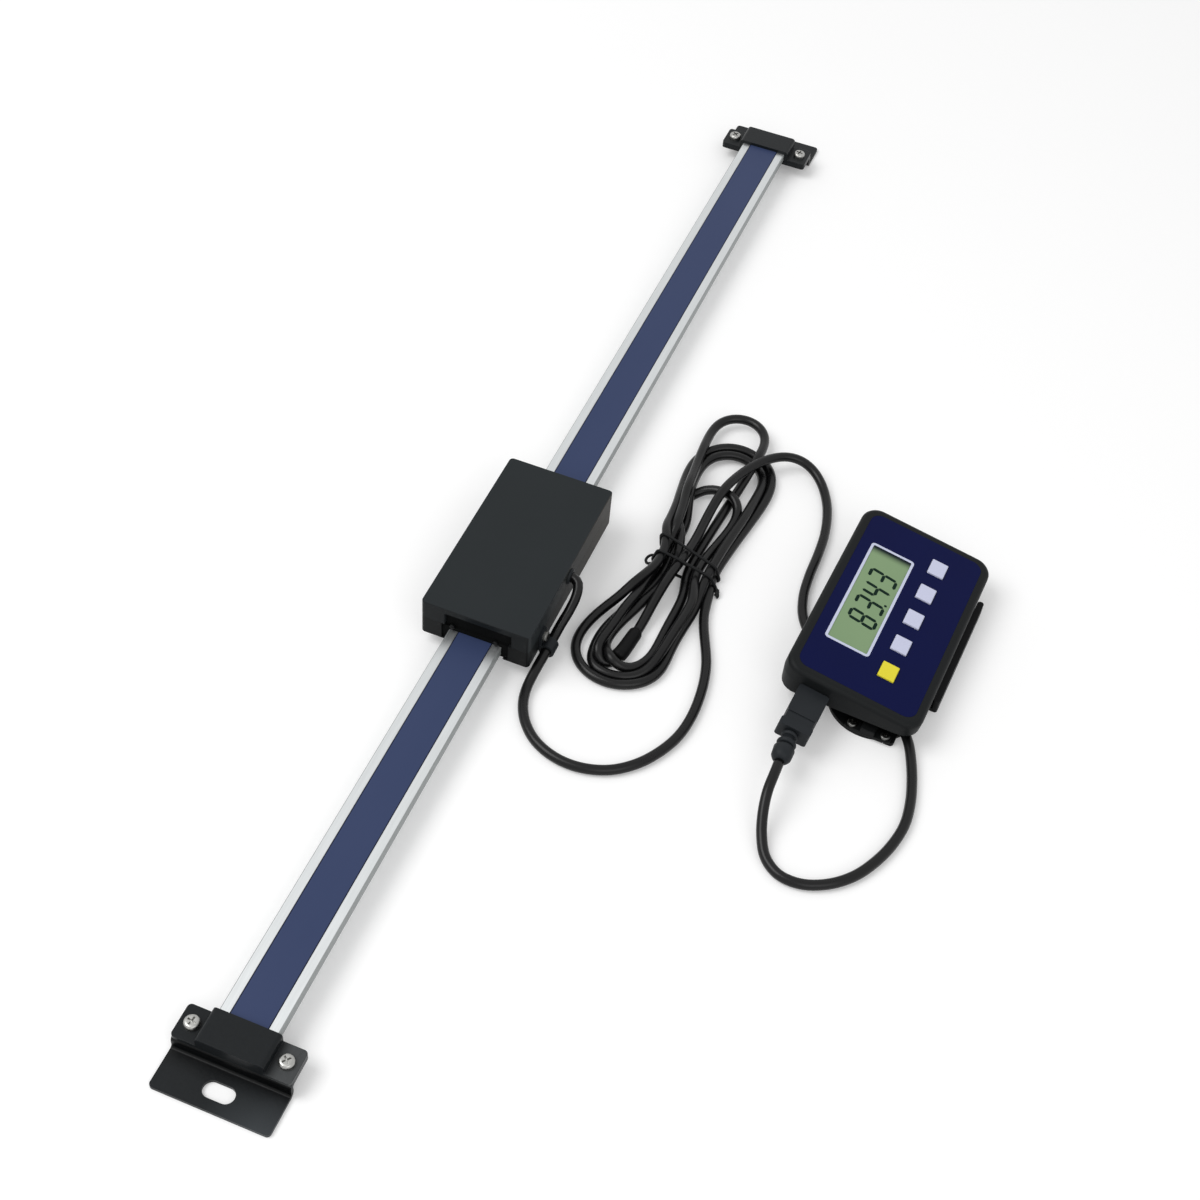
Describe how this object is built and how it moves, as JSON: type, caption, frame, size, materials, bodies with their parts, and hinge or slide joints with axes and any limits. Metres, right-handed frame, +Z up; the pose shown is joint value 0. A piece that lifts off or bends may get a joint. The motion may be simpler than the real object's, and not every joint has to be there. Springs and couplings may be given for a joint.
{
  "type": "digital linear scale with remote display",
  "caption": "Slim aluminium measuring beam on black end brackets, with a sliding reader head and a separate wedge-shaped display on a bundled black lead.",
  "frame": {"origin": "midway between the two bracket slots, on the mounting face under the feet", "axes": "+X along the beam from the near to the far bracket, +Y across the beam away from the display, +Z up from the mounting face"},
  "size_m": [0.566, 0.1928, 0.0221],
  "materials": {
    "beam": "brushed and clear anodised",
    "measuring_grid": "etched laminate",
    "blue_film": "satin printed film",
    "near_bracket": "black satin powder coat",
    "far_bracket": "black satin powder coat",
    "near_end_cap": "black satin powder coat",
    "far_end_cap": "black satin powder coat",
    "near_cap_screws": "bright zinc plate",
    "far_cap_screws": "bright zinc plate",
    "head_housing": "fine moulded grain",
    "head_cover": "fine moulded grain",
    "head_base_plate": "plain sheet",
    "head_screws": "zinc plate",
    "slide_pads": "low-friction plastic",
    "fixed_guides": "acetal",
    "gib_strip": "plain",
    "gib_screws": "zinc plate",
    "near_wiper": "dense felt",
    "far_wiper": "dense felt",
    "sensor_board": "solder mask",
    "board_screws": "zinc plate",
    "reader_chip": "moulded epoxy",
    "cable_header": "nylon",
    "cable_grommet": "smooth",
    "cable_clip": "nylon",
    "clip_screw": "zinc plate",
    "head_cord": "smooth soft jacket, slight sheen",
    "cord_hank": "smooth soft jacket, slight sheen",
    "readout_cord": "smooth soft jacket, slight sheen",
    "hank_tie": "coated wire",
    "inline_sleeve": "shrink sleeve",
    "strain_relief": "moulded",
    "plug_body": "moulded",
    "plug_shell": "nickel plate",
    "front_case": "fine moulded grain",
    "rear_case": "fine moulded grain",
    "face_overlay": "smooth printed foil",
    "lcd_window": "clear",
    "lcd_glass": "reflective display",
    "readout_board": "solder mask",
    "key_mat": "silicone",
    "key_absolute": "printed",
    "key_set": "printed",
    "key_zero": "printed",
    "key_units": "printed",
    "key_power": "printed",
    "usb_socket": "nickel plate",
    "battery": "plain",
    "battery_clip": "sprung sheet",
    "battery_cover": "moulded",
    "case_screws": "black zinc",
    "stand": "moulded",
    "stand_screws": "zinc plate",
    "disc_keeper": "moulded",
    "keeper_screws": "bright zinc plate"
  },
  "bodies": {
    "scale": {"beam": "beam", "measuring_grid": "measuring_grid", "blue_film": "blue_film", "near_bracket": "near_bracket", "far_bracket": "far_bracket", "near_end_cap": "near_end_cap", "far_end_cap": "far_end_cap", "near_cap_screws": "near_cap_screws", "far_cap_screws": "far_cap_screws"},
    "reader_head": {"head_housing": "head_housing", "head_cover": "head_cover", "head_base_plate": "head_base_plate", "head_screws": "head_screws", "slide_pads": "slide_pads", "fixed_guides": "fixed_guides", "gib_strip": "gib_strip", "gib_screws": "gib_screws", "near_wiper": "near_wiper", "far_wiper": "far_wiper", "sensor_board": "sensor_board", "board_screws": "board_screws", "reader_chip": "reader_chip", "cable_header": "cable_header", "cable_grommet": "cable_grommet", "cable_clip": "cable_clip", "clip_screw": "clip_screw", "head_cord": "head_cord", "cord_hank": "cord_hank", "readout_cord": "readout_cord", "hank_tie": "hank_tie", "inline_sleeve": "inline_sleeve", "strain_relief": "strain_relief", "plug_body": "plug_body", "plug_shell": "plug_shell", "front_case": "front_case", "rear_case": "rear_case", "face_overlay": "face_overlay", "lcd_window": "lcd_window", "lcd_glass": "lcd_glass", "readout_board": "readout_board", "key_mat": "key_mat", "usb_socket": "usb_socket", "battery": "battery", "battery_clip": "battery_clip", "battery_cover": "battery_cover", "case_screws": "case_screws", "stand": "stand", "stand_screws": "stand_screws", "disc_keeper": "disc_keeper", "keeper_screws": "keeper_screws"},
    "key_absolute": {"key_absolute": "key_absolute"},
    "key_set": {"key_set": "key_set"},
    "key_zero": {"key_zero": "key_zero"},
    "key_units": {"key_units": "key_units"},
    "key_power": {"key_power": "key_power"}
  },
  "joints": [
    {"name": "head_slide", "type": "slide", "parent": "scale", "child": "reader_head", "axis": [1, 0, 0], "range_m": [-0.1705, 0.2575]},
    {"name": "key_absolute_press", "type": "slide", "parent": "reader_head", "child": "key_absolute", "axis": [0.0093, 0.1475, -0.989], "range_m": [0, 0.0007], "stiffness_N_per_m": 600},
    {"name": "key_set_press", "type": "slide", "parent": "reader_head", "child": "key_set", "axis": [0.0093, 0.1475, -0.989], "range_m": [0, 0.0007], "stiffness_N_per_m": 600},
    {"name": "key_zero_press", "type": "slide", "parent": "reader_head", "child": "key_zero", "axis": [0.0093, 0.1475, -0.989], "range_m": [0, 0.0007], "stiffness_N_per_m": 600},
    {"name": "key_units_press", "type": "slide", "parent": "reader_head", "child": "key_units", "axis": [0.0093, 0.1475, -0.989], "range_m": [0, 0.0007], "stiffness_N_per_m": 600},
    {"name": "key_power_press", "type": "slide", "parent": "reader_head", "child": "key_power", "axis": [0.0093, 0.1475, -0.989], "range_m": [0, 0.0007], "stiffness_N_per_m": 600}
  ]
}
